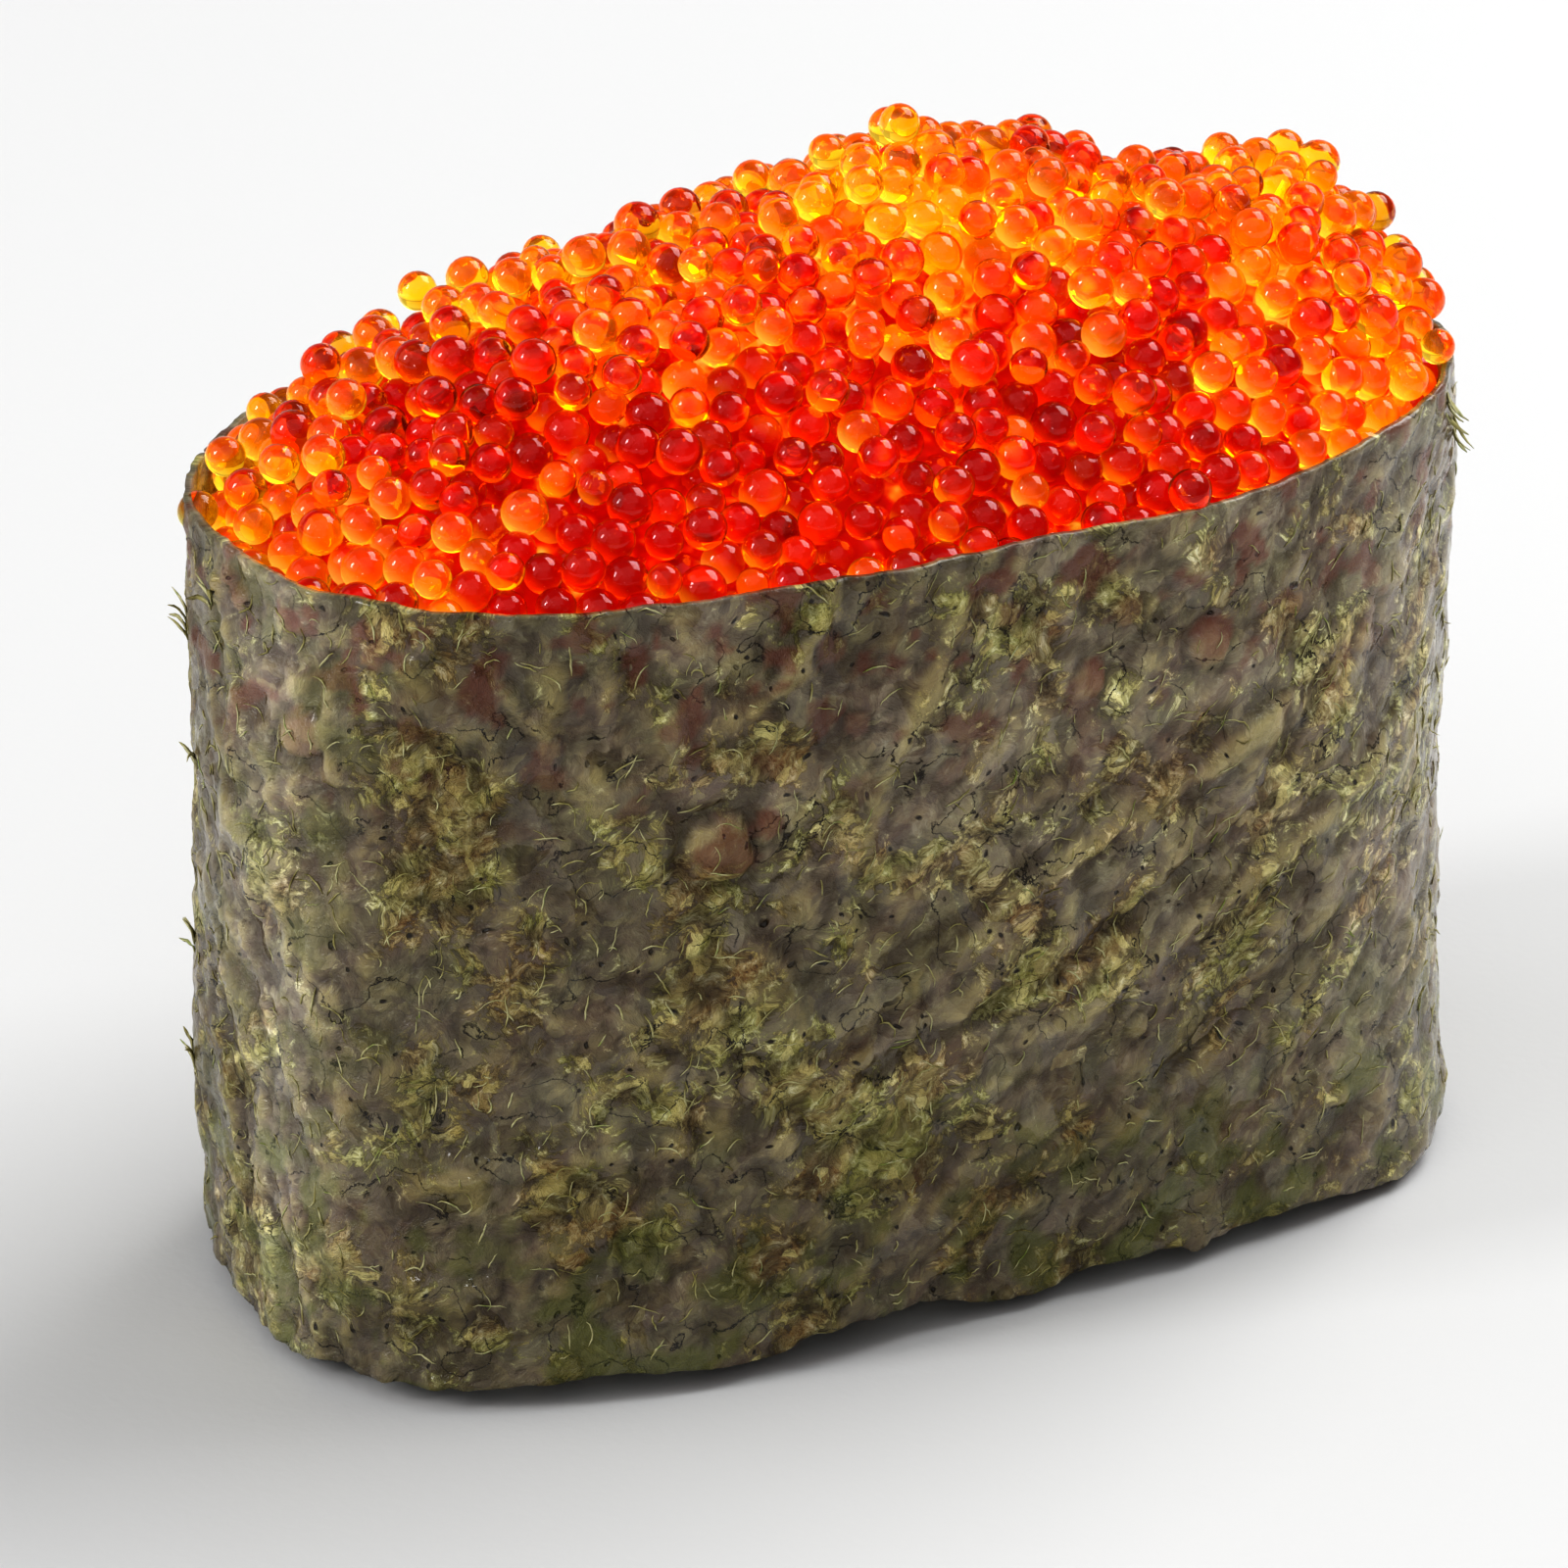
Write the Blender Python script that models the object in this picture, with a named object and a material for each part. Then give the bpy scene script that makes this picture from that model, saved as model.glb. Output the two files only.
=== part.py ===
"""Gunkan sushi: a pad of rice stood in an upright nori band, heaped with small fish roe.

Run with: blender --background --python part.py
Units are metres and +Z is up. X runs along the piece, -Y is its front, and the origin lies on
the table under its middle. The three solids keep a small gap where the real ones touch.
"""

import math
import random

import bmesh
import bpy
from mathutils import Vector

MM = 0.001

# Driving dimensions
STRIP_HEIGHT = 32.0 * MM  # a nori sheet of 190 mm cut into sixths
EDGE_CLEARANCE = 1.0 * MM  # how far the band's lower edge stands off the table
LENGTH = 51.0 * MM  # the band's outside length at its rim
WIDTH = 28.3 * MM  # and its outside width
STRIP_THICKNESS = 0.4 * MM  # softened nori with its wrinkles
LAP_LENGTH = 15.0 * MM  # how far the strip's outer end lies over its inner end
RICE_HEIGHT = 20.5 * MM  # the pressed pad, about two thirds of the band
HEAP_RISE = 7.0 * MM  # the roe's broad mound above the rim
SOLID_GAP = 0.3 * MM  # between solids that touch in the real piece

RIM_HEIGHT = EDGE_CLEARANCE + STRIP_HEIGHT

# Plan outlines of the band: half length, half width, squareness (2 is an ellipse) and bend,
# how far the ends lie behind (+) or before (-) the middle
RIM_PLAN = (LENGTH / 2, WIDTH / 2, 2.35, 0.1 * MM)
BASE_PLAN = (LENGTH / 2 - 0.35 * MM, WIDTH / 2 - 0.1 * MM, 2.85, -1.9 * MM)
BEND_CENTRE = 0.4  # where along the half length, squared, the bend crosses zero
TUCK_POWER = 4  # the band stands nearly straight and tucks in near its foot
BELLY = 0.15 * MM  # and its filling pushes its ends out by this at half height

# Mesh counts
OUTLINE_SAMPLES = 1440
STRIP_STATIONS = 128
STRIP_ROWS = 9
PAD_SECTORS = 72
HEAP_SECTORS = 84
HEAP_RINGS = 14


# ---------------------------------------------------------------- plan outline


def plan_at(height):
    """The outline's half length, half width, squareness and bend at a height."""
    share = min(max(height / RIM_HEIGHT, 0), 1)
    tuck = (1 - share) ** TUCK_POWER
    plan = [rim + (base - rim) * tuck for rim, base in zip(RIM_PLAN, BASE_PLAN)]
    plan[0] += BELLY * math.sin(math.pi * share)
    return plan


def outline(angle, height, inset=0.0):
    """The point of the band's outer face in a direction from the middle, moved in by inset."""
    half_length, half_width, squareness, bend = plan_at(height)
    half_length -= inset
    half_width -= inset
    across = abs(math.cos(angle) / half_length) ** squareness
    along = abs(math.sin(angle) / half_width) ** squareness
    reach = (across + along) ** (-1 / squareness)
    x = reach * math.cos(angle)
    y = reach * math.sin(angle)
    y += bend * ((x / half_length) ** 2 - BEND_CENTRE)
    return Vector((x, y, height))


def outward(angle, height):
    """The level direction out of the band's face."""
    step = math.tau / OUTLINE_SAMPLES
    run = outline(angle + step, height) - outline(angle - step, height)
    return Vector((run.y, -run.x, 0)).normalized()


def even_angles():
    """A function from a share of the way round the rim to its angle, and the rim's length."""
    angles = [math.tau * i / OUTLINE_SAMPLES for i in range(OUTLINE_SAMPLES + 1)]
    points = [outline(angle, RIM_HEIGHT) for angle in angles]
    lengths = [0.0]
    for before, after in zip(points, points[1:]):
        lengths.append(lengths[-1] + (after - before).length)
    girth = lengths[-1]

    def angle_at(turn):
        whole = math.floor(turn)
        wanted = (turn - whole) * girth
        low, high = 0, OUTLINE_SAMPLES
        while high - low > 1:
            middle = (low + high) // 2
            if lengths[middle] <= wanted:
                low = middle
            else:
                high = middle
        part = (wanted - lengths[low]) / (lengths[high] - lengths[low])
        return math.tau * (whole + (low + part) / OUTLINE_SAMPLES)

    return angle_at, girth


# ---------------------------------------------------------------- mesh helpers


def new_object(name, mesh_maker, colour, roughness):
    """A named object whose mesh mesh_maker fills, with its own material."""
    mesh = bpy.data.meshes.new(name)
    bm = bmesh.new()
    mesh_maker(bm)
    bmesh.ops.recalc_face_normals(bm, faces=bm.faces)
    bm.to_mesh(mesh)
    bm.free()
    mesh.shade_smooth()
    mesh.set_sharp_from_angle(angle=math.radians(50))
    material = bpy.data.materials.new(name)
    material.use_nodes = True
    shader = material.node_tree.nodes["Principled BSDF"]
    shader.inputs["Base Color"].default_value = (*colour, 1)
    shader.inputs["Roughness"].default_value = roughness
    mesh.materials.append(material)
    made = bpy.data.objects.new(name, mesh)
    bpy.context.scene.collection.objects.link(made)
    return made


def skin(bm, loops, closed=True):
    """Quads between each pair of neighbouring loops of vertices."""
    for lower, upper in zip(loops, loops[1:]):
        count = len(lower)
        for i in range(count if closed else count - 1):
            j = (i + 1) % count
            bm.faces.new((lower[i], lower[j], upper[j], upper[i]))


# ---------------------------------------------------------------- nori band

# The strip starts under its own outer end, on the back of the piece
LAP_START = 0.19  # share of the way round where the inner end lies
STEP_OUT_LENGTH = 4.0 * MM  # the strip climbs onto its inner end over this length
LAP_GAP = 0.15 * MM

# Folds that the strip took as it was pressed round: share of the way round, height,
# slant in radians, length, breadth and depth
FOLDS = (
    (0.86, 16.0 * MM, 0.35, 13.0 * MM, 1.8 * MM, 0.20 * MM),
    (0.83, 11.5 * MM, 0.50, 11.0 * MM, 1.6 * MM, -0.20 * MM),
    (0.92, 21.0 * MM, 0.60, 9.0 * MM, 1.8 * MM, 0.18 * MM),
    (0.55, 10.0 * MM, 1.30, 9.0 * MM, 1.7 * MM, 0.22 * MM),
    (0.50, 15.0 * MM, 1.57, 26.0 * MM, 7.0 * MM, 0.30 * MM),
    (0.30, 14.0 * MM, 0.20, 12.0 * MM, 2.0 * MM, -0.20 * MM),
    (0.08, 18.0 * MM, 1.10, 9.0 * MM, 2.0 * MM, 0.20 * MM),
)
WAVE_DEPTH = 0.12 * MM


def relief(turn, height, girth):
    """How far folds and slow waves push the strip's face out of its plain outline."""
    around = math.tau * turn
    pushed = WAVE_DEPTH * math.sin(9 * around + height * 160)
    pushed += 0.5 * WAVE_DEPTH * math.sin(16 * around - height * 260)
    for share, level, slant, length, breadth, depth in FOLDS:
        run = ((turn - share + 0.5) % 1 - 0.5) * girth
        rise = height - level
        along = run * math.cos(slant) + rise * math.sin(slant)
        across = rise * math.cos(slant) - run * math.sin(slant)
        pushed += depth * math.exp(-((2 * along / length) ** 2) - (across / breadth) ** 2)
    return pushed


def lower_edge(turn):
    """Height of the strip's torn lower edge: waves, and a shallow gap at the front."""
    around = math.tau * turn
    wave = 0.22 * MM * math.sin(5 * around + 0.9) + 0.12 * MM * math.sin(13 * around)
    torn = 0.6 * MM * math.exp(-(((turn - 0.725) / 0.022) ** 2))
    return EDGE_CLEARANCE + wave + torn


def upper_edge(turn):
    """Height of the strip's cut upper edge."""
    around = math.tau * turn
    return RIM_HEIGHT + 0.16 * MM * math.sin(4 * around + 2.2) + 0.08 * MM * math.sin(9 * around)


def nori_mesh(bm):
    """The strip as one closed ribbon whose outer end lies over its inner end."""
    angle_at, girth = even_angles()
    lap = LAP_LENGTH / girth
    climb = STEP_OUT_LENGTH / girth
    full = 1 + lap

    def face_point(way, level, depth):
        turn = LAP_START + way
        angle = angle_at(turn)
        low, high = lower_edge(turn), upper_edge(turn)
        height = low + (high - low) * level
        rise = min(max((way - (1 - climb)) / climb, 0), 1)
        rise = rise * rise * (3 - 2 * rise)
        off = rise * (STRIP_THICKNESS + LAP_GAP) - depth + relief(turn, height, girth)
        point = outline(angle, height) + outward(angle, height) * off
        point.z = height
        return point

    def face_grid(depth):
        return [
            [
                bm.verts.new(face_point(full * i / STRIP_STATIONS, j / STRIP_ROWS, depth))
                for i in range(STRIP_STATIONS + 1)
            ]
            for j in range(STRIP_ROWS + 1)
        ]

    outer = face_grid(0.0)
    inner = face_grid(STRIP_THICKNESS)
    skin(bm, outer, closed=False)
    skin(bm, inner, closed=False)
    skin(bm, [outer[0], inner[0]], closed=False)
    skin(bm, [outer[-1], inner[-1]], closed=False)
    for end in (0, -1):
        skin(bm, [[row[end] for row in outer], [row[end] for row in inner]], closed=False)


# ---------------------------------------------------------------- rice pad

WRINKLE_ROOM = 0.45 * MM  # the band's deepest fold
FILL_INSET = STRIP_THICKNESS + WRINKLE_ROOM + SOLID_GAP
FOOT_INSET = 2.4 * MM  # how far the pad's rounded foot draws in at the table
FOOT_HEIGHT = 3.0 * MM
FOOT_ROWS = 5
CROWN_INSET = 1.0 * MM


def rice_mesh(bm):
    """A pressed pad: flat on the table, a rounded foot, upright sides and an eased top."""
    levels = []
    for i in range(FOOT_ROWS + 1):
        turn = math.radians(90) * i / FOOT_ROWS
        levels.append((FOOT_HEIGHT * (1 - math.cos(turn)), FOOT_INSET * (1 - math.sin(turn))))
    levels += [
        (RICE_HEIGHT * 0.5, 0.0),
        (RICE_HEIGHT - CROWN_INSET, 0.0),
        (RICE_HEIGHT, CROWN_INSET),
    ]
    loops = []
    for height, inset in levels:
        loop = []
        for i in range(PAD_SECTORS):
            angle = math.tau * i / PAD_SECTORS
            grain_bump = 0.15 * MM * math.sin(11 * angle + height * 900)
            loop.append(bm.verts.new(outline(angle, height, FILL_INSET + inset + abs(grain_bump))))
        loops.append(loop)
    skin(bm, loops)
    bm.faces.new(loops[0])
    bm.faces.new(loops[-1])


# ---------------------------------------------------------------- roe heap

LEFT_POWER = 2.6  # along the length, how square the mound is towards its left end
RIGHT_POWER = 12  # and towards its right end, which stands up like a wall
SECTION_POWER = 2.4  # and across it
CREST_SKEW = 0.18  # the crest lies behind the middle by this share of the half width
EDGE_FALL = 12  # lumps die out within the last of the way to the band

# Spoonfuls and hollows that make the heap uneven: x, y, height and radius
LUMPS = (
    (4.5 * MM, 2.5 * MM, 2.3 * MM, 8.0 * MM),
    (-12.5 * MM, 1.0 * MM, 0.9 * MM, 3.4 * MM),
    (4.8 * MM, 3.0 * MM, 0.7 * MM, 2.4 * MM),
    (11.0 * MM, 3.0 * MM, 1.3 * MM, 2.4 * MM),
    (15.2 * MM, 5.0 * MM, -1.7 * MM, 3.2 * MM),
    (2.0 * MM, -5.5 * MM, -0.7 * MM, 3.2 * MM),
    (11.0 * MM, -6.0 * MM, 0.5 * MM, 3.0 * MM),
    (-15.0 * MM, -4.0 * MM, -0.4 * MM, 3.0 * MM),
)
# At the right end the eggs lean out over the band's edge
OVERHANG = 1.1 * MM
OVERHANG_LIFT = 0.9 * MM  # how much higher than elsewhere the roe's edge runs there
OVERHANG_FACING = math.radians(-15)  # the direction of its middle
OVERHANG_FADE = (0.35, 0.85)  # cosines away from that direction where it starts and is full
LIFT_POWER = 8  # the lift fades inwards from the edge
NECK = 0.25 * MM  # the roe's upright edge just under its surface

SMALL_LUMPS = 70
SMALL_LUMP_RISE = 0.45 * MM
SMALL_LUMP_RADIUS = 1.6 * MM
LEFT_END_DROP = 1.2 * MM  # the roe falls short of the rim at the left end
HEAP_SEED = 7


def heap_lumps():
    """The named lumps, and small seeded ones of a few eggs each."""
    seeded = random.Random(HEAP_SEED)
    small = [
        (
            seeded.uniform(-1, 1) * LENGTH / 2,
            seeded.uniform(-1, 1) * WIDTH / 2,
            seeded.choice((-1, 1)) * SMALL_LUMP_RISE,
            SMALL_LUMP_RADIUS,
        )
        for _ in range(SMALL_LUMPS)
    ]
    return [*LUMPS, *small]


def overhang_share(angle):
    """How fully the roe leans out over the band's edge in a direction, 0 to 1."""
    start, full = OVERHANG_FADE
    share = min(max((math.cos(angle - OVERHANG_FACING) - start) / (full - start), 0), 1)
    return share * share * (3 - 2 * share)


def heap_height(x, y, reach, lumps):
    """Height of the roe over a point that lies at a share, reach, of the way to its edge."""
    mound_power = RIGHT_POWER if x > 0 else LEFT_POWER
    mound_end = LENGTH / 2 - FILL_INSET + (OVERHANG if x > 0 else 0)
    along = min(max(x / mound_end, -1), 1)
    half_width = (WIDTH / 2 - FILL_INSET) * (1 - abs(along) ** RIM_PLAN[2]) ** (1 / RIM_PLAN[2])
    across = min(max(y / max(half_width, MM), -1), 1)
    across -= CREST_SKEW * (1 - across * across)
    crest = HEAP_RISE * (1 - abs(along) ** mound_power)
    rise = crest * (1 - abs(across) ** SECTION_POWER)
    fade = 1 - reach**EDGE_FALL
    for lump_x, lump_y, height, radius in lumps:
        away = ((x - lump_x) ** 2 + (y - lump_y) ** 2) / radius**2
        rise += fade * height * math.exp(-away)
    rise -= LEFT_END_DROP * max(-along, 0) ** 6
    return RIM_HEIGHT - SOLID_GAP + rise


def roe_mesh(bm):
    """The roe from the top of the rice to the heap's uneven surface."""
    lumps = heap_lumps()
    floor = RICE_HEIGHT + SOLID_GAP
    angles = [math.tau * i / HEAP_SECTORS for i in range(HEAP_SECTORS)]
    bottom = [bm.verts.new(outline(angle, floor, FILL_INSET)) for angle in angles]
    neck = []
    for angle in angles:
        point = outline(angle, RIM_HEIGHT, FILL_INSET)
        point.z += OVERHANG_LIFT * overhang_share(angle) - SOLID_GAP - NECK
        neck.append(bm.verts.new(point))
    rings = [bottom, neck]
    for k in range(HEAP_RINGS):
        reach = math.sin(math.radians(90) * (HEAP_RINGS - k) / HEAP_RINGS)
        ring = []
        for angle in angles:
            share = overhang_share(angle)
            point = outline(angle, RIM_HEIGHT, FILL_INSET - OVERHANG * share) * reach
            lift = OVERHANG_LIFT * share * reach**LIFT_POWER
            point.z = heap_height(point.x, point.y, reach, lumps) + lift
            ring.append(bm.verts.new(point))
        rings.append(ring)
    skin(bm, rings)
    top = bm.verts.new((0, 0, heap_height(0, 0, 0, lumps)))
    for i in range(HEAP_SECTORS):
        bm.faces.new((rings[-1][i], rings[-1][(i + 1) % HEAP_SECTORS], top))
    bm.faces.new(bottom)


# ---------------------------------------------------------------- the whole piece


def clear_scene():
    for old in list(bpy.data.objects):
        bpy.data.objects.remove(old)


def centre_over_origin(pieces):
    """Hangs the pieces on an empty that puts the middle of their box over the origin."""
    corners = [vertex.co for piece in pieces for vertex in piece.data.vertices]
    holder = bpy.data.objects.new("gunkan", None)
    bpy.context.scene.collection.objects.link(holder)
    for axis in (0, 1):
        values = [corner[axis] for corner in corners]
        holder.location[axis] = -(min(values) + max(values)) / 2
    for piece in pieces:
        piece.parent = holder


def main():
    clear_scene()
    rice = new_object("rice", rice_mesh, (0.80, 0.77, 0.70), 0.45)
    nori = new_object("nori", nori_mesh, (0.035, 0.042, 0.022), 0.45)
    roe = new_object("roe", roe_mesh, (0.90, 0.12, 0.01), 0.12)
    centre_over_origin([rice, nori, roe])


main()
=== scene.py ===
"""Gunkan sushi: rice in an upright nori band, heaped with flying-fish roe, on a pale table."""

import math
import random

import bmesh
import bpy
import numpy as np
from mathutils import Matrix, Vector, noise
from mathutils.bvhtree import BVHTree
from mathutils.kdtree import KDTree


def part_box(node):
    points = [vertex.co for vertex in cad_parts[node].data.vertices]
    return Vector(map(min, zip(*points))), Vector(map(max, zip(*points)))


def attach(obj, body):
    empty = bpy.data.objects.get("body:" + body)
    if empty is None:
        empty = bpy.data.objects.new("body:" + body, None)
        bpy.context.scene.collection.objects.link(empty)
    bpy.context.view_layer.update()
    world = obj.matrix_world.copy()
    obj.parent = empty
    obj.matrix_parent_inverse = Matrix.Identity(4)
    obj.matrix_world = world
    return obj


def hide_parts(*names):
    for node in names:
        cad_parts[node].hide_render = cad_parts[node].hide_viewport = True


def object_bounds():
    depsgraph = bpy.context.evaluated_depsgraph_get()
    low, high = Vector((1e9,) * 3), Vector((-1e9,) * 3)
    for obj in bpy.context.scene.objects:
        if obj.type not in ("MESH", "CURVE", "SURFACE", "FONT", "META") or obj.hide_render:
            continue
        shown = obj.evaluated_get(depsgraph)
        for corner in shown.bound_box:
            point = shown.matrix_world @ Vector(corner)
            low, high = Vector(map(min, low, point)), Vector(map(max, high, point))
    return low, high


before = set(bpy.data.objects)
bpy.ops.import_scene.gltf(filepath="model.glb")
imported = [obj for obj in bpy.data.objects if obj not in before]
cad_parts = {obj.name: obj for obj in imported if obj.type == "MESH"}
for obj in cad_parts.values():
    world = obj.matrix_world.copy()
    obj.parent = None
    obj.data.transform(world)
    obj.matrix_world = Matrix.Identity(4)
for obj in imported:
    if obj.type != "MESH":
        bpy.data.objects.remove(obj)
cad_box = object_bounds()


# ---------------------------------------------------------------- rice pad
# About twenty grams of boiled short-grain rice, pressed by hand into an oval block. The table
# flattens it underneath, and single grains stand out of its foot, below the nori's edge.

MM = 0.001
UP = Vector((0, 0, 1))
GRAIN_LENGTH = 5.2 * MM
GRAIN_WIDTH = 2.5 * MM
GRAIN_BEND = 0.35 * MM  # how far a grain's ends curve out of line
GRAIN_TRIES = 2600
GRAIN_SPACING = 2.3 * MM
GRAIN_SINK = 0.85 * MM  # how deep a grain's middle lies under the pad's face
GRAIN_TOP = 9.0 * MM  # above this the band hides the pad
PAD_SHRINK = 0.9 * MM  # the core lies this far inside the pad, behind its grains
RICE_WHITE = "#e9e3d6"
RICE_SHADE = "#d8cdb8"
LEAST_LIFT = 0.02 * MM  # keeps what is pressed flat clear of the table


def linear(code):
    """A linear RGBA colour from an sRGB hex code."""
    channels = [int(code[i : i + 2], 16) / 255 for i in (1, 3, 5)]
    return (*[c / 12.92 if c <= 0.04045 else ((c + 0.055) / 1.055) ** 2.4 for c in channels], 1)


def add_node(tree, kind, inputs=None, stops=None, **settings):
    """Adds a node, sets it up, and sets or links each of its inputs. Of a node given as an
    input's value, the first output is linked."""
    node = tree.nodes.new("ShaderNode" + kind)
    for name, value in settings.items():
        setattr(node, name, value)
    for name, value in (inputs or {}).items():
        if isinstance(value, bpy.types.Node):
            value = value.outputs[0]
        if isinstance(value, bpy.types.NodeSocket):
            tree.links.new(value, node.inputs[name])
        else:
            node.inputs[name].default_value = value
    for i, (position, colour) in enumerate(stops or ()):
        points = node.color_ramp.elements
        point = points[i] if i < len(points) else points.new(position)
        point.position = position
        point.color = linear(colour)
    return node


def bare_material(name):
    """A new material and its empty node tree."""
    material = bpy.data.materials.new(name)
    material.use_nodes = True
    material.node_tree.nodes.clear()
    return material, material.node_tree


def add_piece(name, mesh, material, node):
    """Puts a mesh into the scene as a piece that stands for one of the frame's nodes."""
    mesh.materials.append(material)
    mesh.shade_smooth()
    piece = bpy.data.objects.new(name, mesh)
    bpy.context.scene.collection.objects.link(piece)
    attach(piece, "root")
    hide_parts(node)
    return piece


def mesh_of(name, points, faces):
    mesh = bpy.data.meshes.new(name)
    mesh.from_pydata([tuple(point) for point in points], [], [tuple(face) for face in faces])
    mesh.validate()
    return mesh


def solid_tree(node):
    """A frame node's faces, ready for rays and nearest points."""
    return BVHTree.FromObject(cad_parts[node], bpy.context.evaluated_depsgraph_get())


def ball(rings):
    """Points and faces of a ball of unit radius, cut from an icosahedron."""
    bm = bmesh.new()
    bmesh.ops.create_icosphere(bm, subdivisions=rings, radius=1)
    points = np.array([vertex.co[:] for vertex in bm.verts])
    faces = np.array([[vertex.index for vertex in face.verts] for face in bm.faces])
    bm.free()
    return points, faces


def joined(name, shapes, faces):
    """One mesh of many like shapes, each an array of points in the same order."""
    count = len(shapes[0])
    all_faces = np.concatenate([faces + i * count for i in range(len(shapes))])
    return mesh_of(name, np.concatenate(shapes), all_faces)


def boiled_rice():
    """Boiled rice: soft starch, milky under a damp skin, so light sinks in and comes back warm."""
    material, tree = bare_material("boiled_rice")
    place = add_node(tree, "TexCoord").outputs["Object"]
    patches = add_node(tree, "TexNoise", {"Vector": place, "Scale": 1 / (2.5 * MM), "Detail": 3.0})
    colour = add_node(
        tree, "ValToRGB", {"Fac": patches}, stops=((0.35, RICE_SHADE), (0.6, RICE_WHITE))
    )
    skin_grain = add_node(tree, "TexNoise", {"Vector": place, "Scale": 1 / (0.25 * MM), "Detail": 2.0})
    bump = add_node(tree, "Bump", {"Height": skin_grain, "Strength": 0.3, "Distance": 0.04 * MM})
    shader = add_node(
        tree, "BsdfPrincipled",
        {
            "Base Color": colour,
            "Roughness": 0.34,
            "IOR": 1.42,
            "Subsurface Weight": 0.6,
            "Subsurface Radius": (1.2, 1.0, 0.8),
            "Subsurface Scale": 1.0 * MM,
            "Normal": bump,
        },
    )
    add_node(tree, "OutputMaterial", {"Surface": shader})
    return material


rice_finish = boiled_rice()
rice_low, rice_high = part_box("rice")
pad_tree = solid_tree("rice")
chance = random.Random(11)

pad = bmesh.new()
pad.from_mesh(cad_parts["rice"].data)
bmesh.ops.remove_doubles(pad, verts=pad.verts, dist=0.001 * MM)
bmesh.ops.triangulate(pad, faces=pad.faces)
bmesh.ops.subdivide_edges(pad, edges=pad.edges, cuts=2, use_grid_fill=True)
pad.normal_update()
for vertex in pad.verts:
    lump = noise.noise(vertex.co / (1.7 * MM))
    vertex.co -= vertex.normal * (PAD_SHRINK + 0.3 * MM * lump)
    vertex.co.z = max(vertex.co.z, 0.5 * MM)
pad_mesh = bpy.data.meshes.new("rice_core")
pad.to_mesh(pad_mesh)
pad.free()
add_piece("rice_core", pad_mesh, rice_finish, "rice")

ball_points, ball_faces = ball(3)
grains = []
taken = []
for attempt in range(GRAIN_TRIES):
    if attempt % 2:
        x, y = chance.uniform(rice_low.x, rice_high.x), chance.uniform(rice_low.y, rice_high.y)
        hit, normal, _, _ = pad_tree.ray_cast(Vector((x, y, -MM)), UP)
    else:
        turn = chance.uniform(0, math.tau)
        heading = Vector((math.cos(turn), math.sin(turn), 0))
        start = Vector((0, 0, chance.uniform(0.8 * MM, GRAIN_TOP))) + heading * rice_high.x * 2
        hit, normal, _, _ = pad_tree.ray_cast(start, -heading)
    if hit is None or any((hit - other).length < GRAIN_SPACING for other in taken):
        continue
    taken.append(hit)
    along = normal.orthogonal().normalized()
    along.rotate(Matrix.Rotation(chance.uniform(0, math.tau), 3, normal))
    across = normal.cross(along)
    centre = hit - normal * GRAIN_SINK * chance.uniform(0.7, 1.15)
    size = chance.uniform(0.9, 1.08)
    shape = ball_points * np.array([GRAIN_LENGTH / 2, GRAIN_WIDTH / 2, GRAIN_WIDTH * 0.45]) * size
    end_share = (ball_points[:, 0]) ** 2
    shape[:, 1] += GRAIN_BEND * end_share * chance.choice((-1, 1))
    shape[:, 2] -= 0.3 * MM * end_share
    basis = np.array([along, across, normal])
    shape = shape @ basis + np.array(centre)
    shape[:, 2] = np.maximum(shape[:, 2], LEAST_LIFT)
    grains.append(shape)
add_piece("rice_grains", joined("rice_grains", grains, ball_faces), rice_finish, "rice")


# ---------------------------------------------------------------- nori band
# A strip cut from a toasted sheet of laver, a sixth of its length. Wet rice softens it, so it
# wrinkles, blisters and clings. Its outer end lies over its inner end on the piece's back.

NORI_THICKNESS = 0.28 * MM
SOLID_THICKNESS = 0.4 * MM  # the frame's own strip
CELL = 0.232 * MM  # spacing of the outer face's points
INNER_ROWS = 9
FROND_FLAKE = 1.3 * MM  # flakes of whole frond, and the small straw ones between them
STRAW_FLAKE = 0.45 * MM
SHRED_GRAIN = 0.6 * MM  # the matted shreds, at their widest
SHRED_RELIEF = 0.17 * MM
TONE_SPREAD = 2.4 * MM  # how far the mat stays browner or greener
LEFT_CORNER = 46 * MM  # where the front's two ends round off, along the strip from its inner end
RIGHT_CORNER = 95 * MM
COMPASS = 1440  # directions in which the band is measured
EDGE_TRIM = 0.35 * MM  # rays at the edges are cast this far inside them


def band_hit(tree, turn, height, from_outside):
    """Where a level ray meets the band: its outermost face, or its innermost from the middle."""
    heading = Vector((math.cos(turn), math.sin(turn), 0))
    start = Vector((0, 0, height))
    if from_outside:
        return tree.ray_cast(start + heading * cad_box[1][0] * 3, -heading)[0]
    return tree.ray_cast(start, heading)[0]


def layers_at(tree, turn, height):
    """How many faces of the strip a level ray from the middle crosses."""
    heading = Vector((math.cos(turn), math.sin(turn), 0))
    start, crossed = Vector((0, 0, height)), 0
    hit = tree.ray_cast(start, heading)[0]
    while hit is not None:
        crossed += 1
        hit = tree.ray_cast(hit + heading * 0.001 * MM, heading)[0]
    return crossed


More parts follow.
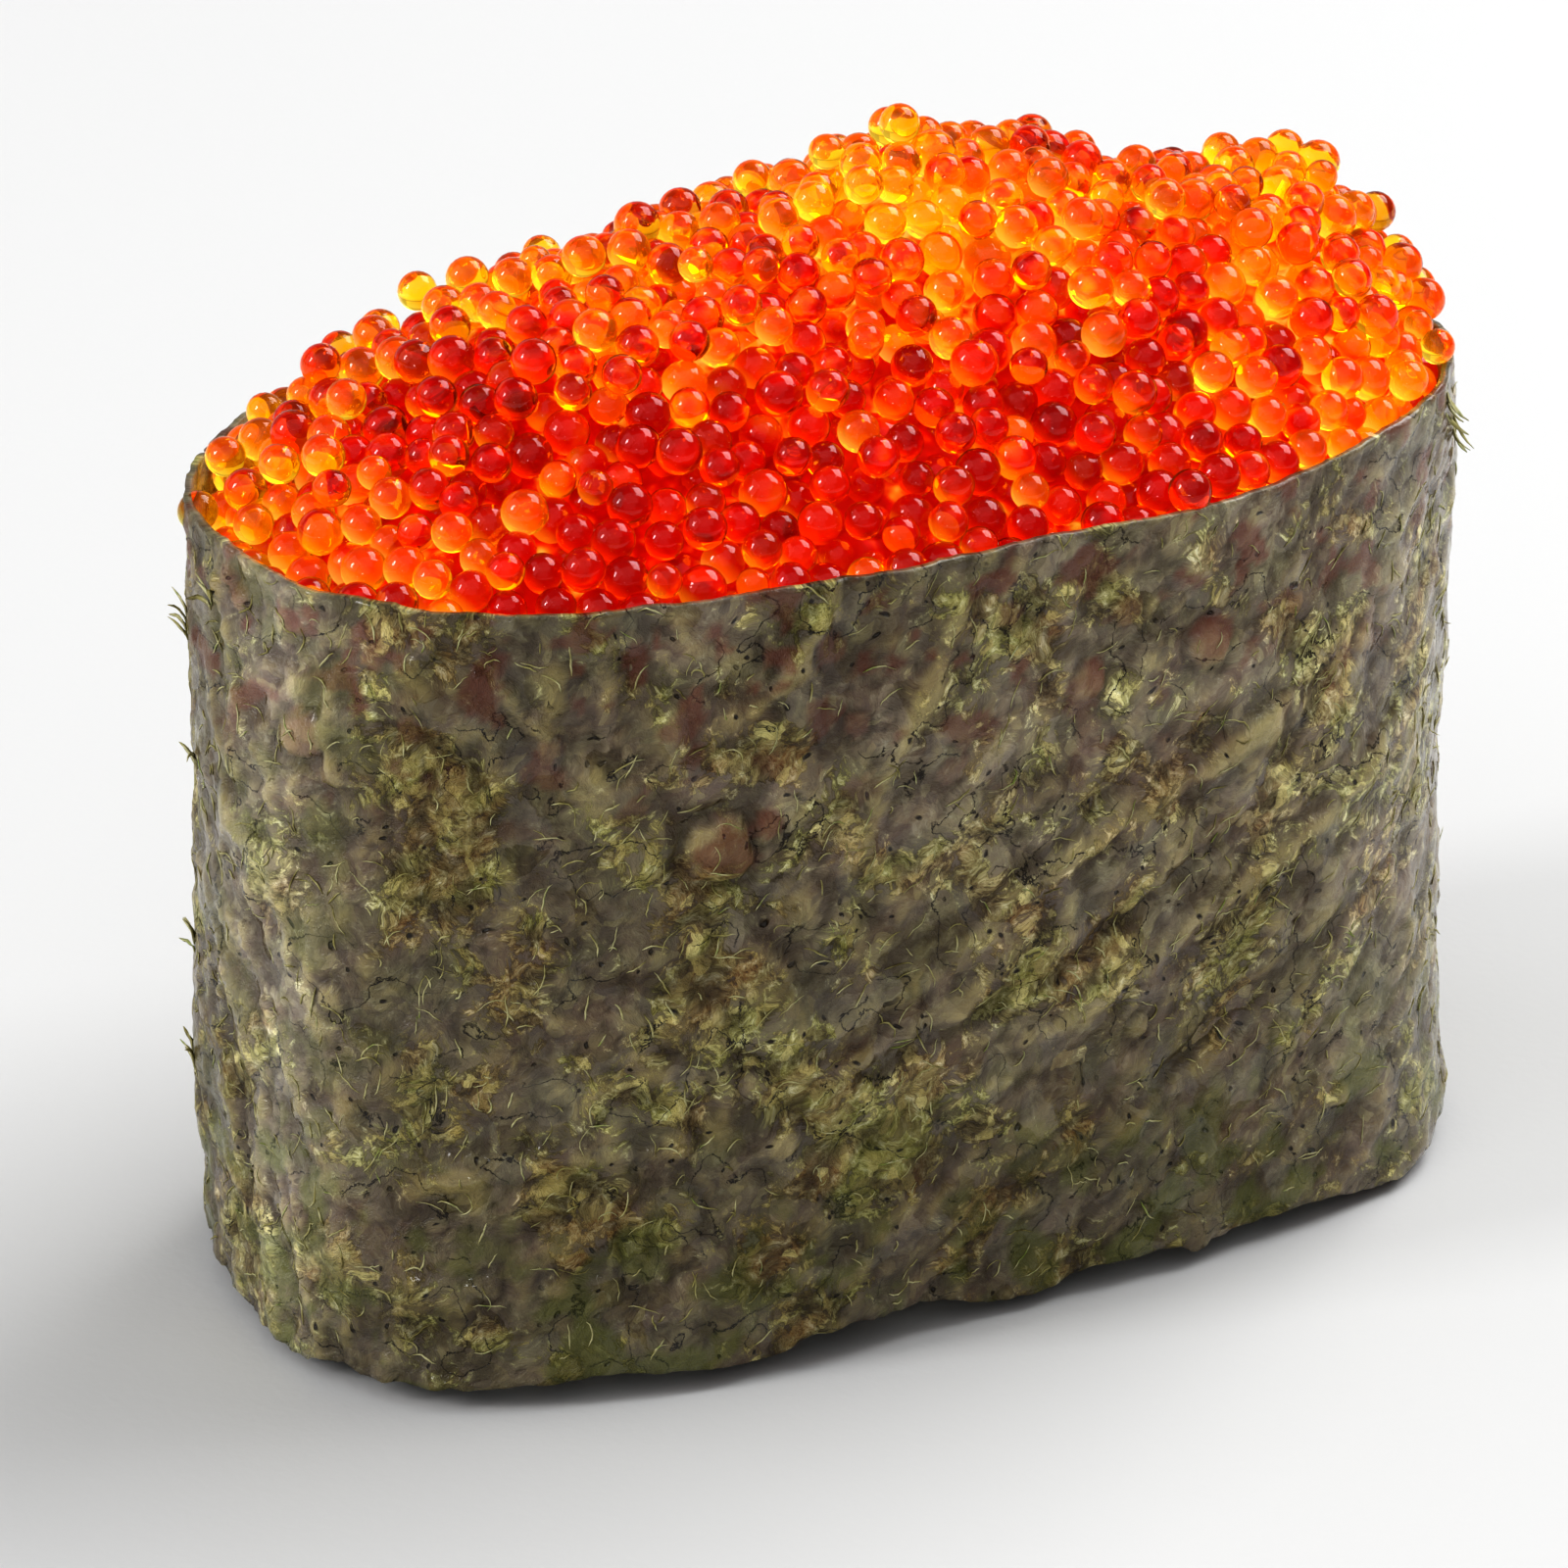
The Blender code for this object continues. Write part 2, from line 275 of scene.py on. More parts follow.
band_tree = solid_tree("nori")
band_low, band_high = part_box("nori")
waist = (band_low.z + band_high.z) / 2
turns = [math.tau * i / COMPASS for i in range(COMPASS + 1)]
waistline = np.array([band_hit(band_tree, turn, waist, True) for turn in turns])
paced = np.concatenate([[0], np.cumsum(np.linalg.norm(np.diff(waistline, axis=0), axis=1))])
girth = paced[-1]
doubled = [turn for turn in turns if layers_at(band_tree, turn, waist) > 2]
lap_from = float(np.interp(doubled[0], turns, paced))
lap = float(np.interp(doubled[-1], turns, paced)) - lap_from

# Heights of the strip's two edges, from the frame's own points in each direction
strip_points = np.array([vertex.co[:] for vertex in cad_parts["nori"].data.vertices])
strip_turns = np.arctan2(strip_points[:, 1], strip_points[:, 0]) % math.tau


def edges_at(turn):
    """The lowest and highest point of the frame's strip near a direction."""
    gap = np.abs((strip_turns - turn + math.pi) % math.tau - math.pi)
    near = strip_points[gap < math.radians(2.5), 2]
    return near.min(), near.max()


def smooth(values, reach):
    """Evens values out along the strip, over reach stations to each side."""
    weights = np.exp(-((np.arange(-2 * reach, 2 * reach + 1) / reach) ** 2))
    padded = np.pad(values, 2 * reach, mode="edge")
    return np.convolve(padded, weights / weights.sum(), mode="valid")


stations = round((girth + lap) / CELL) + 1
rows = round((band_high.z - band_low.z) / CELL) + 1
run = np.linspace(0, girth + lap, stations)
station_turns = np.interp((run + lap_from) % girth, paced, turns)
limits = np.array([edges_at(turn) for turn in station_turns])

# Where the edge is torn: place along the strip, width, and how far it is torn up or hangs down
TEARS = (
    (67.6, 1.6, 0.55),
    (71.0, 2.2, 0.30),
    (76.5, 2.0, -0.20),
    (84.2, 0.5, -0.35),
    (48.5, 1.2, 0.25),
    (93.0, 1.5, -0.20),
)
low_edge = smooth(limits[:, 0], 6)
high_edge = smooth(limits[:, 1], 6)
for place, width, torn in TEARS:
    low_edge += torn * MM * np.exp(-(((run - place * MM) / (width * MM)) ** 4))
for i in range(stations):
    low_edge[i] += 0.12 * MM * noise.fractal(Vector((run[i] / (0.9 * MM), 3.1, 0)), 1, 2, 4)
    high_edge[i] += 0.05 * MM * noise.fractal(Vector((run[i] / (0.8 * MM), 9.4, 0)), 1, 2, 4)

plain_face = np.zeros((rows, stations, 3))
for j in range(rows):
    for i in range(stations):
        height = low_edge[i] + (high_edge[i] - low_edge[i]) * j / (rows - 1)
        level = min(max(height, limits[i, 0] + EDGE_TRIM), limits[i, 1] - EDGE_TRIM)
        under = run[i] < lap
        hit = band_hit(band_tree, station_turns[i], level, not under)
        if under:
            hit += Vector((hit.x, hit.y, 0)).normalized() * SOLID_THICKNESS
        plain_face[j, i] = (hit.x, hit.y, height)
    plain_face[j, :, 0] = smooth(plain_face[j, :, 0], 5)
    plain_face[j, :, 1] = smooth(plain_face[j, :, 1], 5)
ahead = np.gradient(plain_face[:, :, :2], axis=1)
outward = np.stack([ahead[:, :, 1], -ahead[:, :, 0], np.zeros((rows, stations))], axis=2)
outward /= np.linalg.norm(outward, axis=2, keepdims=True)
sheet_run = np.tile(run, (rows, 1))  # each point's place on the flat sheet, along and across it
sheet_rise = plain_face[:, :, 2]


def field(size, octaves=1, shift=0.0, lean=0, stretch=1):
    """Smooth random values over the sheet, about -1 to 1. Lean and stretch give it a grain."""
    turn = math.radians(lean)
    along = (sheet_run * math.cos(turn) + sheet_rise * math.sin(turn)) / (size * stretch)
    across = (sheet_rise * math.cos(turn) - sheet_run * math.sin(turn)) / size
    values = [
        noise.fractal(Vector((a, b, shift)), 1.0, 2.0, octaves)
        for a, b in zip(along.ravel(), across.ravel())
    ]
    return np.array(values).reshape(rows, stations)


def step_up(values, low, high):
    """Nought below the low value, one above the high one, and smooth between."""
    share = np.clip((values - low) / (high - low), 0, 1)
    return share * share * (3 - 2 * share)


def around(place, reach):
    """One at a place along the strip, fading to each side of it."""
    return np.exp(-(((sheet_run - place) / reach) ** 2))


# Blisters that the damp raised: place along the strip, height, radius, how far they stand out
BLISTERS = [
    (63.3, 22.8, 1.40, 0.50),
    (65.0, 23.4, 0.65, 0.18),
    (78.4, 26.8, 0.80, 0.20),
    (83.6, 27.1, 0.90, 0.20),
    (47.3, 27.0, 1.10, 0.24),
    (48.6, 16.6, 0.70, 0.22),
    (66.2, 20.0, 1.20, 0.18),
    (57.0, 27.6, 0.50, 0.16),
    (80.0, 29.4, 0.60, 0.16),
]
SMALL_BLISTERS = 110
chance = random.Random(5)
for _ in range(SMALL_BLISTERS):
    place = chance.uniform(0, (girth + lap) / MM)
    height = chance.uniform(band_low.z, band_high.z) / MM
    BLISTERS.append((place, height, chance.uniform(0.25, 0.75), chance.uniform(0.05, 0.16)))

# Folds, each a curve over the sheet through three places: how far it stands out, and its width
FOLDS = (
    ((67.7, 33.0), (67.3, 30.4), (64.6, 28.4), 0.34, 0.32),
    ((72.6, 31.0), (71.2, 27.5), (68.4, 21.5), 0.24, 0.50),
    ((69.0, 12.3), (77.0, 14.6), (87.0, 19.8), -0.26, 0.42),
    ((75.0, 19.0), (82.0, 21.0), (91.0, 25.6), 0.24, 0.50),
    ((76.0, 12.2), (84.0, 15.8), (93.0, 19.6), 0.26, 0.55),
    ((70.0, 17.0), (76.0, 19.4), (81.0, 23.0), -0.20, 0.40),
    ((82.0, 9.0), (88.0, 12.5), (96.0, 15.0), -0.22, 0.45),
    ((48.9, 30.0), (47.9, 27.6), (48.8, 25.6), 0.30, 0.26),
    ((55.0, 31.0), (55.6, 29.4), (57.2, 27.8), 0.20, 0.22),
    ((52.0, 9.0), (56.0, 11.0), (62.0, 10.4), 0.16, 0.45),
    ((61.0, 15.0), (65.0, 13.0), (70.0, 14.0), -0.18, 0.40),
)

stir_along = field(1.5 * MM, 4, 0.4)
stir_across = field(1.5 * MM, 4, 7.4)
film = field(3.4 * MM, 4, 2.7)
crack = field(2.4 * MM, 3, 5.9)

# The damp sheet puffs up between creases. They slant up to the right on the right of the front,
# and stand nearly upright elsewhere.
right_half = step_up(sheet_run, 66 * MM, 76 * MM)
slanting = np.abs(field(2.3 * MM, 3, 4.1, lean=38, stretch=2.6))
upright = np.abs(field(2.5 * MM, 3, 4.7, lean=98, stretch=1.7))
puffed = slanting * right_half + upright * (1 - right_half)
push = 0.26 * field(8 * MM, 3, 0.9) + 0.16 * field(3.1 * MM, 2, 3.3)
push += 0.44 * np.clip(puffed, 0, 0.4) * (0.55 + 0.45 * step_up(field(9 * MM, 2, 1.3), -0.3, 0.2))
push += 0.09 * field(1.3 * MM, 4, 6.2) + 0.05 * field(0.65 * MM, 2, 8.8)
left_end = around(LEFT_CORNER - MM, 4 * MM)
push += 0.30 * left_end * field(1.3 * MM, 3, 10.6, lean=105, stretch=2.4)
push += 0.22 * left_end * np.clip(field(0.8 * MM, 2, 12.1), 0, 0.6)
push -= 0.08 * np.exp(-((crack / 0.03) ** 2)) * step_up(film, -0.1, 0.1)
for first, second, third, stand, width in FOLDS:
    away = np.full((rows, stations), 1.0)
    for share in np.linspace(0, 1, 40):
        bend = np.array(first) * (1 - share) ** 2 + np.array(third) * share**2
        bend = (bend + 2 * share * (1 - share) * np.array(second)) * MM
        away = np.minimum(away, np.hypot(sheet_run - bend[0], sheet_rise - bend[1]))
    wander = 1 + 0.5 * stir_along
    push += stand * np.exp(-((away / (width * MM * wander)) ** 2))
blister = np.zeros((rows, stations))
for place, height, radius, stand in BLISTERS:
    away = np.hypot(sheet_run - place * MM, sheet_rise - height * MM) / (radius * MM)
    near = away < 3
    away = away[near] * (1 + 0.3 * stir_across[near])
    dome = np.clip(1 - away**2, 0, None) ** 0.6
    push[near] += stand * dome - 0.5 * stand * np.exp(-(((away - 1.15) / 0.22) ** 2))
    blister[near] = np.maximum(blister[near], np.clip(1.6 * dome, 0, 1))
even = np.array([smooth(row, 5) for row in push])
even = np.array([smooth(column, 5) for column in even.T]).T
# Painted shade in the wrinkles' hollows and a painted highlight on their crests, from how far the sheet sits
# below or above its evened-out self
painted_hollow_shade = step_up(even - push, 0.01, 0.07)
painted_crest_highlight = step_up(push - even, 0.02, 0.14)
push *= MM * (1 - 0.8 * np.clip((lap - sheet_run) / (2 * MM), 0, 1))
outer_face = plain_face + outward * push[:, :, None]

# The inner face follows the outer one's broader wrinkles, a thickness inside it
inner_pick = np.linspace(0, rows - 1, INNER_ROWS).round().astype(int)
broad = np.array([smooth(row, 4) for row in push[inner_pick]])
sunk = np.minimum(broad, push[inner_pick]) - NORI_THICKNESS
inner_face = plain_face[inner_pick] + outward[inner_pick] * sunk[:, :, None]

points = np.concatenate([outer_face.reshape(-1, 3), inner_face.reshape(-1, 3)])
outer_index = np.arange(rows * stations).reshape(rows, stations)
inner_index = rows * stations + np.arange(INNER_ROWS * stations).reshape(INNER_ROWS, stations)


def quads(grid):
    """Faces of a grid of points, running along a row first."""
    corners = (grid[:-1, :-1], grid[:-1, 1:], grid[1:, 1:], grid[1:, :-1])
    return np.stack([corner.ravel() for corner in corners], axis=1)


band_faces = [tuple(face) for face in quads(outer_index)]
band_faces += [tuple(face) for face in quads(inner_index)[:, ::-1]]
band_faces += [tuple(face) for face in quads(np.stack([inner_index[0], outer_index[0]]))]
band_faces += [tuple(face) for face in quads(np.stack([outer_index[-1], inner_index[-1]]))]
band_faces.append(tuple(inner_index[:, 0]) + tuple(outer_index[::-1, 0]))
band_faces.append(tuple(outer_index[:, -1]) + tuple(inner_index[::-1, -1]))
band_mesh = mesh_of("nori_band", points, band_faces)

# The sheet's own layout, in metres along and across the strip, and the same layout stirred, as
# its shreds were when they floated in water before drying
corner_points = np.zeros(len(band_mesh.loops), dtype=np.int32)
band_mesh.loops.foreach_get("vertex_index", corner_points)
lean = math.radians(38)
for name, stir, drawn in (("sheet", 0.15 * MM, 2.4), ("stirred", 0.5 * MM, 1)):
    across = sheet_rise * math.cos(lean) - sheet_run * math.sin(lean) + stir_across * stir
    along = (sheet_run * math.cos(lean) + sheet_rise * math.sin(lean) + stir_along * stir) / drawn
    placed = np.stack([along, across], axis=2)
    placed = np.concatenate([placed.reshape(-1, 2), placed[inner_pick].reshape(-1, 2)])
    layout = band_mesh.uv_layers.new(name=name)
    layout.data.foreach_set("uv", placed[corner_points].astype(np.float32).ravel())


def keep(name, *fields):
    """Stores up to three of the sheet's fields on the band, for its material."""
    columns = [np.concatenate([f.ravel(), f[inner_pick].ravel()]) for f in fields]
    while len(columns) < 4:
        columns.append(np.ones(len(points)))
    made = band_mesh.attributes.new(name, "FLOAT_COLOR", "POINT")
    made.data.foreach_set("color", np.stack(columns, axis=1).astype(np.float32).ravel())


# Roe juice soaks in from the rim. The foot is thinner and greener, the green partly its own colour and partly
# painted glow of light through the thin sheet, and the two ends are wet.
rim_share = step_up(sheet_rise, band_high.z - 13 * MM, band_high.z - 3 * MM)
soaked = step_up(field(1.8 * MM, 4, 21.0), 0.22, 0.42) * rim_share
soaked = np.maximum(soaked, 0.8 * blister * rim_share)
for place, height, radius, _ in BLISTERS[:4]:
    away = np.hypot(sheet_run - (place + 0.2) * MM, sheet_rise - (height + 0.3) * MM) / (radius * MM)
    soaked = np.maximum(soaked, step_up(0.9 - away + 0.5 * stir_along, 0, 0.3))
foot_share = 1 - step_up(sheet_rise, band_low.z + 2 * MM, band_low.z + 13 * MM)
left_share = around(LEFT_CORNER, 6 * MM)
# The green is partly the thin sheet's own colour and partly painted glow of light coming through it
green = step_up(field(2.6 * MM, 5, 23.0), 0.0, 0.35) * np.clip(foot_share + 0.6 * left_share, 0, 1)
wet = step_up(field(3.2 * MM, 3, 25.0), -0.2, 0.1) * left_share
wet *= 1 - step_up(sheet_rise, 16 * MM, 22 * MM)
wet = np.maximum(wet, 0.8 * around(LEFT_CORNER, 3 * MM))
wet = np.maximum(wet, 0.7 * step_up(sheet_run, RIGHT_CORNER - 6 * MM, RIGHT_CORNER))

# How much paler each part is painted: random paler patches, painted light along the upper right of the front
# and at both ends, darker about 54 mm along, and painted shade low along the foot
upper_share = step_up(sheet_rise, band_low.z + 9 * MM, band_low.z + 22 * MM)
pale_and_painted_light = 0.28 + 0.45 * field(7 * MM, 3, 27.0) + 0.25 * field(2.2 * MM, 3, 29.0)
pale_and_painted_light += 0.42 * around(82 * MM, 11 * MM) * upper_share
pale_and_painted_light -= 0.34 * around(54 * MM, 5 * MM)
pale_and_painted_light += 0.75 * around(LEFT_CORNER, 2.6 * MM)
pale_and_painted_light += 0.55 * step_up(sheet_run, RIGHT_CORNER - 8 * MM, RIGHT_CORNER)
pale_and_painted_light -= 0.7 * foot_share * around(72 * MM, 16 * MM)
pale_and_painted_light = np.clip(pale_and_painted_light, 0, 1)
keep("growth", film, crack, wet)
keep("painted_light_and_pale", painted_hollow_shade, painted_crest_highlight, pale_and_painted_light)
keep("stains_and_painted_glow", soaked, green)


def damp_nori():
    """Toasted laver gone damp: flakes of purple-black frond, satin where they lie whole, matted
    with dull green and yellow shreds. A wet shine stays on the left end and on some flakes."""
    material, tree = bare_material("damp_nori")
    sheet = add_node(tree, "UVMap", uv_map="sheet")
    stirred = add_node(tree, "UVMap", uv_map="stirred")
    kept = [add_node(tree, "Attribute", attribute_name=name) for name in ("growth", "painted_light_and_pale", "stains_and_painted_glow")]
    growth, painted_light_and_pale, stains_and_painted_glow = [add_node(tree, "SeparateColor", {"Color": field}).outputs for field in kept]

    def flakes(size):
        """Flakes of one size: their random picks, and how far a place is from each one's middle."""
        made = add_node(
            tree, "TexVoronoi", {"Vector": stirred, "Scale": 1 / size}, voronoi_dimensions="2D"
        )
        picks = add_node(tree, "SeparateColor", {"Color": made.outputs["Color"]}).outputs
        return picks, made.outputs["Distance"]

    frond_pick, _ = flakes(FROND_FLAKE)
    straw_pick, straw_away = flakes(STRAW_FLAKE)
    grain = add_node(
        tree, "TexNoise",
        {"Vector": stirred, "Scale": 1 / SHRED_GRAIN, "Detail": 4.0, "Roughness": 0.78},
        noise_dimensions="2D",
    )
    tone = add_node(
        tree, "TexNoise",
        {"Vector": sheet, "Scale": 1 / TONE_SPREAD, "Detail": 2.0, "Roughness": 0.65},
        noise_dimensions="2D",
    )

    # The mat of shreds, from the dark behind it to pale straw
    matted = add_node(
        tree, "ValToRGB", {"Fac": grain},
        stops=((0.30, "#3c2c0c"), (0.41, "#6e5f2e"), (0.50, "#948955"), (0.60, "#c2b985"), (0.70, "#f2ecc2")),
    )
    hue = add_node(
        tree, "ValToRGB", {"Fac": tone},
        stops=((0.36, "#ad6627"), (0.44, "#997339"), (0.52, "#968b3f"), (0.62, "#b3b846")),
    )
    matted = add_node(tree, "MixRGB", {"Fac": 0.30, "Color1": matted, "Color2": hue})
    straw = add_node(
        tree, "ValToRGB", {"Fac": straw_pick["Red"]},
        stops=((0.0, "#4a3918"), (0.4, "#877249"), (0.8, "#d2bf72"), (1.0, "#fff3a3")),
    )
    strewn = add_node(
        tree, "MapRange", {"Value": straw_pick["Green"], "From Min": 0.60, "From Max": 0.62, "To Max": 0.55}
    )
    matted = add_node(tree, "MixRGB", {"Fac": strewn, "Color1": matted, "Color2": straw})

    # The flakes of frond over it: dull purple where whole, browner where thin
    frond = add_node(
        tree, "ValToRGB", {"Fac": frond_pick["Red"]},
        stops=((0.0, "#4c3d2c"), (0.25, "#665950"), (0.5, "#514741"), (0.75, "#786c5e"), (1.0, "#403222")),
    )
    frond = add_node(tree, "MixRGB", {"Fac": 0.24, "Color1": frond, "Color2": matted})
    cover = add_node(tree, "Math", {0: grain, 1: -1.1}, operation="MULTIPLY")
    for part, weight in ((straw_pick["Blue"], 0.10), (frond_pick["Blue"], 0.24), (growth["Red"], 0.55)):
        cover = add_node(tree, "Math", {0: part, 1: weight, 2: cover}, operation="MULTIPLY_ADD")
    whole = add_node(tree, "MapRange", {"Value": cover, "From Min": -0.52, "From Max": -0.46})
    # A thin painted shadow just outside the edge of each whole flake
    near_edge = add_node(tree, "MapRange", {"Value": cover, "From Min": -0.58, "From Max": -0.53})
    off_flake = add_node(tree, "MapRange", {"Value": cover, "From Min": -0.48, "From Max": -0.52})
    painted_flake_edge_shadow = add_node(tree, "Math", {0: near_edge, 1: off_flake}, operation="MULTIPLY")

    # Pin holes in a few small flakes, and ragged thin splits along the dried cracks
    round_hole = add_node(tree, "MapRange", {"Value": straw_away, "From Min": 0.26, "From Max": 0.12})
    few = add_node(tree, "MapRange", {"Value": straw_pick["Blue"], "From Min": 0.95, "From Max": 0.97})
    hole = add_node(tree, "Math", {0: round_hole, 1: few}, operation="MULTIPLY")
    split = add_node(tree, "Math", {0: grain, 1: 0.3, 2: growth["Green"]}, operation="MULTIPLY_ADD")
    split = add_node(tree, "Math", {0: split}, operation="ABSOLUTE")
    split = add_node(tree, "MapRange", {"Value": split, "From Min": 0.016, "From Max": 0.006})
    some = add_node(tree, "MapRange", {"Value": tone, "From Min": 0.46, "From Max": 0.52})
    split = add_node(tree, "Math", {0: split, 1: some}, operation="MULTIPLY")
    dark = add_node(tree, "Math", {0: hole, 1: split}, operation="MAXIMUM")

    # What lies over both, one above the other: where, how strong, and its colour
    colour = add_node(tree, "MixRGB", {"Fac": whole, "Color1": matted, "Color2": frond})
    for where, strength, shade in (
        (painted_flake_edge_shadow, 0.5, "#3a2a12"),
        # a painted highlight on the wrinkles' crests
        (painted_light_and_pale["Green"], 0.26, "#dac77c"),
        # painted shade in the wrinkles' hollows
        (painted_light_and_pale["Red"], 0.55, "#33230e"),
        (dark, 1.0, "#24180a"),
        (stains_and_painted_glow["Red"], 0.7, "#6a2f14"),
        # green of the thin foot and left end: partly its own colour, partly painted glow
        (stains_and_painted_glow["Green"], 0.55, "#656c16"),
    ):
        amount = add_node(tree, "Math", {0: where, 1: strength}, operation="MULTIPLY")
        colour = add_node(tree, "MixRGB", {"Fac": amount, "Color1": colour, "Color2": linear(shade)})
    # Paler and less saturated where that value is high: random paler patches, painted light on the upper
    # right and at both ends, painted shade along the foot
    pale_and_painted_light_value = add_node(tree, "MapRange", {"Value": painted_light_and_pale["Blue"], "To Min": 0.86, "To Max": 1.75})
    pale_and_painted_light_saturation = add_node(tree, "MapRange", {"Value": painted_light_and_pale["Blue"], "To Min": 1.0, "To Max": 0.8})
    colour = add_node(tree, "HueSaturation", {"Color": colour, "Value": pale_and_painted_light_value, "Saturation": pale_and_painted_light_saturation})

    # The mat is rough to the touch, the flakes are smooth and lie a little above it
    tooth = add_node(tree, "Math", {0: whole, 1: -1.5, 2: 2.4}, operation="MULTIPLY_ADD")
    swing = add_node(tree, "Math", {0: grain, 1: 0.5}, operation="SUBTRACT")
    step = add_node(tree, "Math", {0: whole, 1: 0.30}, operation="MULTIPLY")
    height = add_node(tree, "Math", {0: tooth, 1: swing, 2: step}, operation="MULTIPLY_ADD")
    height = add_node(tree, "Math", {0: height, 1: dark}, operation="SUBTRACT")
    bump = add_node(tree, "Bump", {"Height": height, "Strength": 1.0, "Distance": SHRED_RELIEF})

    wet_film = add_node(tree, "MapRange", {"Value": growth["Blue"], "To Min": 0.08, "To Max": 1.0})
    shiny = add_node(
        tree, "MapRange", {"Value": frond_pick["Green"], "From Min": 0.60, "From Max": 0.70, "To Max": 0.55}
    )
    shiny = add_node(tree, "Math", {0: whole, 1: shiny}, operation="MULTIPLY")
    coat = add_node(tree, "Math", {0: wet_film, 1: shiny}, operation="MAXIMUM")
    rough = add_node(tree, "Math", {0: whole, 1: -0.10, 2: 0.42}, operation="MULTIPLY_ADD")
    rough = add_node(tree, "Math", {0: growth["Blue"], 1: -0.12, 2: rough}, operation="MULTIPLY_ADD")
    shader = add_node(
        tree, "BsdfPrincipled",
        {
            "Base Color": colour,
            "Roughness": rough,
            "IOR": 1.5,
            "Coat Weight": coat,
            "Coat Roughness": 0.07,
            "Normal": bump,
        },
    )
    add_node(tree, "OutputMaterial", {"Surface": shader})
    return material


add_piece("nori_band", band_mesh, damp_nori(), "nori")


# ---------------------------------------------------------------- nori shreds
# Single torn shreds of the seaweed that dried on the face of the sheet. Most lie flat on it, a
# few stand off the left end and the rim. They are thin, straw coloured and a little twisted.

SHREDS = 2400
SHRED_STEPS = 7
SHRED_SIDES = 3
SLANT_LEFT = 75  # which way most of them lie, in degrees: left of the front's middle, and right
SLANT_RIGHT = 38
MIDDLE = 68 * MM  # where along the strip one gives way to the other


def on_sheet(place, height):
    """The outer face's point at a place along the strip and a height, and its way out."""
    column = min(max(place / run[-1] * (stations - 1), 0), stations - 1.001)
    share = (height - low_edge[int(column)]) / (high_edge[int(column)] - low_edge[int(column)])
    row = min(max(share * (rows - 1), 0), rows - 1.001)
    i, j = int(column), int(row)
    a, b = column - i, row - j
    corner = outer_face[j : j + 2, i : i + 2]
    lower = corner[0, 0] * (1 - a) + corner[0, 1] * a
    upper = corner[1, 0] * (1 - a) + corner[1, 1] * a
    return Vector(lower * (1 - b) + upper * b), Vector(outward[j, i])


def shred(place, height, heading, length, radius, lift):
    """A bent, tapering shred as points and faces. Its last end stands off the sheet by the lift."""
    points, faces = [], []
    bend = chance.gauss(0, 0.9)
    for k in range(SHRED_STEPS):
        share = k / (SHRED_STEPS - 1)
        on_face, out = on_sheet(place, height)
        middle = on_face + out * (0.5 * radius + lift * share**2)
        thick = radius * (1 - 0.75 * abs(2 * share - 1) ** 3)
        side = UP.cross(out).normalized() * -math.sin(heading) + UP * math.cos(heading)
        for m in range(SHRED_SIDES):
            turn = math.tau * m / SHRED_SIDES + share * 2
            points.append(middle + (side * math.cos(turn) * 1.5 + out * math.sin(turn)) * thick)
        heading += bend / SHRED_STEPS + chance.gauss(0, 0.22)
        place += math.cos(heading) * length / SHRED_STEPS
        height += math.sin(heading) * length / SHRED_STEPS
    for k in range(SHRED_STEPS - 1):
        for m in range(SHRED_SIDES):
            n = (m + 1) % SHRED_SIDES
            first = k * SHRED_SIDES
            faces.append((first + m, first + n, first + SHRED_SIDES + n, first + SHRED_SIDES + m))
    faces.append(tuple(range(SHRED_SIDES))[::-1])
    faces.append(tuple(range((SHRED_STEPS - 1) * SHRED_SIDES, SHRED_STEPS * SHRED_SIDES)))
    return points, faces


def bleached_shred():
    """A dried shred of laver: straw to leaf green, matt."""
    material, tree = bare_material("bleached_shred")
    place = add_node(tree, "TexCoord").outputs["Object"]
    tint = add_node(tree, "TexNoise", {"Vector": place, "Scale": 1 / (0.9 * MM), "Detail": 2.0})
    colour = add_node(
        tree, "ValToRGB", {"Fac": tint},
        stops=((0.30, "#6d6230"), (0.42, "#aaa266"), (0.58, "#d2cda0"), (0.70, "#93a050")),
    )
    shader = add_node(tree, "BsdfPrincipled", {"Base Color": colour, "Roughness": 0.45, "IOR": 1.5})
    add_node(tree, "OutputMaterial", {"Surface": shader})
    return material


shred_points, shred_faces = [], []


def lay(shape):
    """Adds a shred's points and faces to the rest."""
    base = len(shred_points)
    shred_points.extend(shape[0])
    shred_faces.extend(tuple(base + corner for corner in face) for face in shape[1])


chance = random.Random(11)
while len(shred_faces) < SHREDS * ((SHRED_STEPS - 1) * SHRED_SIDES + 2):
    place = chance.uniform(0.01, 0.99) * run[-1]
    height = chance.uniform(low_edge.mean() + 0.5 * MM, high_edge.mean() - 0.4 * MM)
    column = int(place / run[-1] * (stations - 1))
    row = int((height - low_edge[column]) / (high_edge[column] - low_edge[column]) * (rows - 1))
    if chance.random() > 0.45 + 1.4 * abs(film[min(max(row, 0), rows - 1), column]):
        continue
    heading = math.radians(SLANT_RIGHT if place > MIDDLE else SLANT_LEFT) + chance.gauss(0, 0.8)
    length = chance.uniform(0.4, 1.6) * MM
    lift = chance.uniform(0.1, 0.3) * MM if chance.random() < 0.06 else 0
    lay(shred(place, height, heading, length, chance.uniform(0.016, 0.034) * MM, lift))

